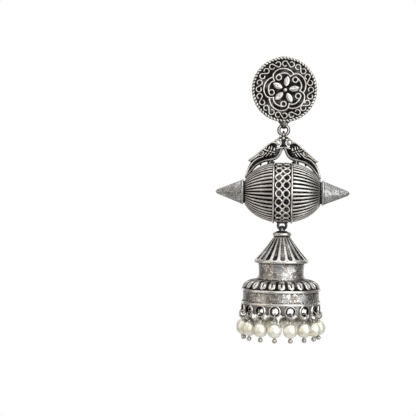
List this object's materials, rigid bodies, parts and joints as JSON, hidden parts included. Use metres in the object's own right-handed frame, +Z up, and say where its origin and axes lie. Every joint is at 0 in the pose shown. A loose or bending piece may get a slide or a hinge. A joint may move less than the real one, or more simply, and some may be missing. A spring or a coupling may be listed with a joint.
{
  "type": "jhumka earring",
  "caption": "Drop earring: a round flower stud, a ribbed barrel with spiked ends under two peacocks, and a tiered bell with a pearl fringe.",
  "frame": {"origin": "on the ear post's axis where the post leaves the stud disc's back face", "axes": "+Z up along the hanging earring, -Y towards the front of the stud, +X to the viewer's right"},
  "size_m": [0.0414, 0.0275, 0.0884],
  "materials": {
    "oxidised_silver": "oxidised, with polished high relief",
    "satin_silver": "satin",
    "bright_silver": "polished",
    "pearl": "pearly gloss"
  },
  "bodies": {
    "stud": {"stud_disc": "oxidised_silver", "ear_post": "bright_silver", "ear_back": "bright_silver"},
    "link": {"jump_ring": "oxidised_silver"},
    "drop": {"peacock_crest": "oxidised_silver", "barrel_left": "oxidised_silver", "barrel_right": "oxidised_silver", "lattice_band": "oxidised_silver", "spike_left": "satin_silver", "spike_right": "satin_silver"},
    "bell": {"bell_roof": "oxidised_silver", "bell_neck": "satin_silver", "bell_skirt": "oxidised_silver", "pearl_01": "pearl", "pearl_02": "pearl", "pearl_03": "pearl", "pearl_04": "pearl", "pearl_05": "pearl", "pearl_06": "pearl", "pearl_07": "pearl", "pearl_08": "pearl", "pearl_09": "pearl", "pearl_10": "pearl", "pearl_11": "pearl", "pearl_12": "pearl", "pearl_13": "pearl", "pearl_14": "pearl", "pearl_15": "pearl", "pearl_16": "pearl", "pearl_pin_01": "bright_silver", "pearl_pin_02": "bright_silver", "pearl_pin_03": "bright_silver", "pearl_pin_04": "bright_silver", "pearl_pin_05": "bright_silver", "pearl_pin_06": "bright_silver", "pearl_pin_07": "bright_silver", "pearl_pin_08": "bright_silver", "pearl_pin_09": "bright_silver", "pearl_pin_10": "bright_silver", "pearl_pin_11": "bright_silver", "pearl_pin_12": "bright_silver", "pearl_pin_13": "bright_silver", "pearl_pin_14": "bright_silver", "pearl_pin_15": "bright_silver", "pearl_pin_16": "bright_silver"}
  },
  "joints": [
    {"name": "drop_swing_front", "type": "hinge", "parent": "stud", "child": "link", "pos_m": [0, -0.00045, -0.01675], "axis": [1, 0, 0], "range_deg": [-60, 60]},
    {"name": "drop_swing_side", "type": "hinge", "parent": "link", "child": "drop", "pos_m": [0, -0.00045, -0.01826], "axis": [0, 1, 0], "range_deg": [-40, 40]},
    {"name": "bell_swing_front", "type": "hinge", "parent": "drop", "child": "bell", "pos_m": [0, -0.00045, -0.04895], "axis": [1, 0, 0], "range_deg": [-35, 35]}
  ]
}
